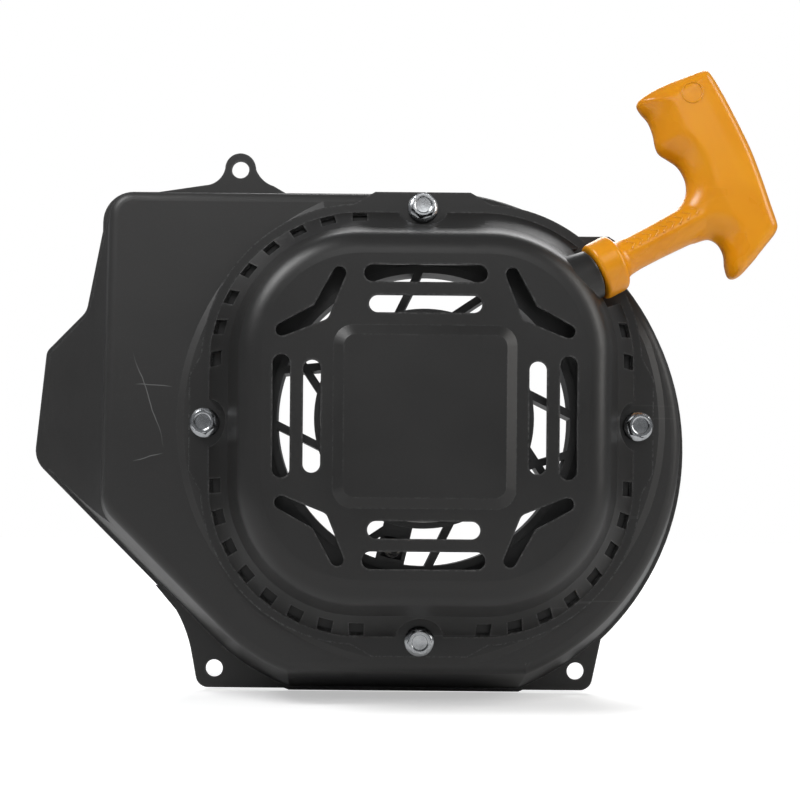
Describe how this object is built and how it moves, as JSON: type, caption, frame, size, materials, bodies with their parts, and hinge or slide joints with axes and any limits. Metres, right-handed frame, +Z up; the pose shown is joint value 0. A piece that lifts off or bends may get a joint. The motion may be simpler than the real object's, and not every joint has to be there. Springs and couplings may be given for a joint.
{
  "type": "recoil starter",
  "caption": "Pull-rope recoil starter: pressed-steel fan case with ears, slotted cover over a spring-return reel with pawls, and a T handle on a rope.",
  "frame": {"origin": "midway between the two lower ear holes, on the back plane of the mounting ears", "axes": "+X right and +Z up seen from the front, -Y out of the cover, +Y towards the engine"},
  "size_m": [0.3565, 0.0915, 0.2918],
  "materials": {
    "case_paint": "satin black enamel on pressed steel",
    "cover_paint": "satin black enamel on pressed steel",
    "zinc": "bright zinc plate",
    "plain_steel": "plain steel",
    "reel_nylon": "black glass-filled nylon",
    "bronze": "sintered bronze",
    "spring_steel": "blued spring steel",
    "rope": "braided polyester cord",
    "guide_steel": "blackened steel",
    "handle_plastic": "glossy orange plastic",
    "pawl_steel": "hardened steel",
    "plate_steel": "zinc-plated sheet"
  },
  "bodies": {
    "housing": {"fan_case": "case_paint", "recoil_cover": "cover_paint", "cover_bolts": "zinc", "weld_nuts": "plain_steel", "reel_post": "plain_steel", "rope_guide": "guide_steel", "centre_bolt": "zinc", "plate_bush": "plain_steel", "thrust_washer": "plain_steel", "friction_spring": "spring_steel", "recoil_spring": "spring_steel"},
    "reel": {"reel": "reel_nylon", "reel_bush": "bronze", "spring_retainer": "plain_steel", "rope_coil": "rope", "reel_knot": "rope", "pawl_pins": "plain_steel", "pawl_springs": "spring_steel"},
    "guide_plate": {"guide_plate": "plate_steel"},
    "pawl_a": {"pawl_a": "pawl_steel"},
    "pawl_b": {"pawl_b": "pawl_steel"},
    "handle": {"handle_grip": "handle_plastic", "handle_washer": "plain_steel", "handle_knot": "rope", "starter_rope": "rope"}
  },
  "joints": [
    {"name": "reel_spin", "type": "hinge", "parent": "housing", "child": "reel", "pos_m": [0.01, -0.07, 0.122], "axis": [0, 1, 0], "range_deg": [0, 720], "stiffness_Nm_per_rad": 0.06, "springref_deg": -687.55, "deforming": ["recoil_spring"]},
    {"name": "handle_pull", "type": "slide", "parent": "housing", "child": "handle", "axis": [0.8829, 0, 0.4695], "range_m": [0, 0.96], "deforming": ["starter_rope"]},
    {"name": "guide_turn", "type": "hinge", "parent": "reel", "child": "guide_plate", "pos_m": [0.01, -0.0587, 0.122], "axis": [0, -1, 0], "range_deg": [0, 25]},
    {"name": "pawl_a_swing", "type": "hinge", "parent": "reel", "child": "pawl_a", "pos_m": [0.04, -0.062, 0.122], "axis": [0, -1, 0], "range_deg": [0, 30], "deforming": ["pawl_springs"]},
    {"name": "pawl_b_swing", "type": "hinge", "parent": "reel", "child": "pawl_b", "pos_m": [-0.02, -0.062, 0.122], "axis": [0, -1, 0], "range_deg": [0, 30]}
  ],
  "couplings": [
    {"joint": "handle_pull", "follows": "reel_spin", "m_per_rad": 0.076394},
    {"joint": "pawl_a_swing", "follows": "guide_turn", "ratio": 1.2},
    {"joint": "pawl_b_swing", "follows": "guide_turn", "ratio": 1.2}
  ]
}
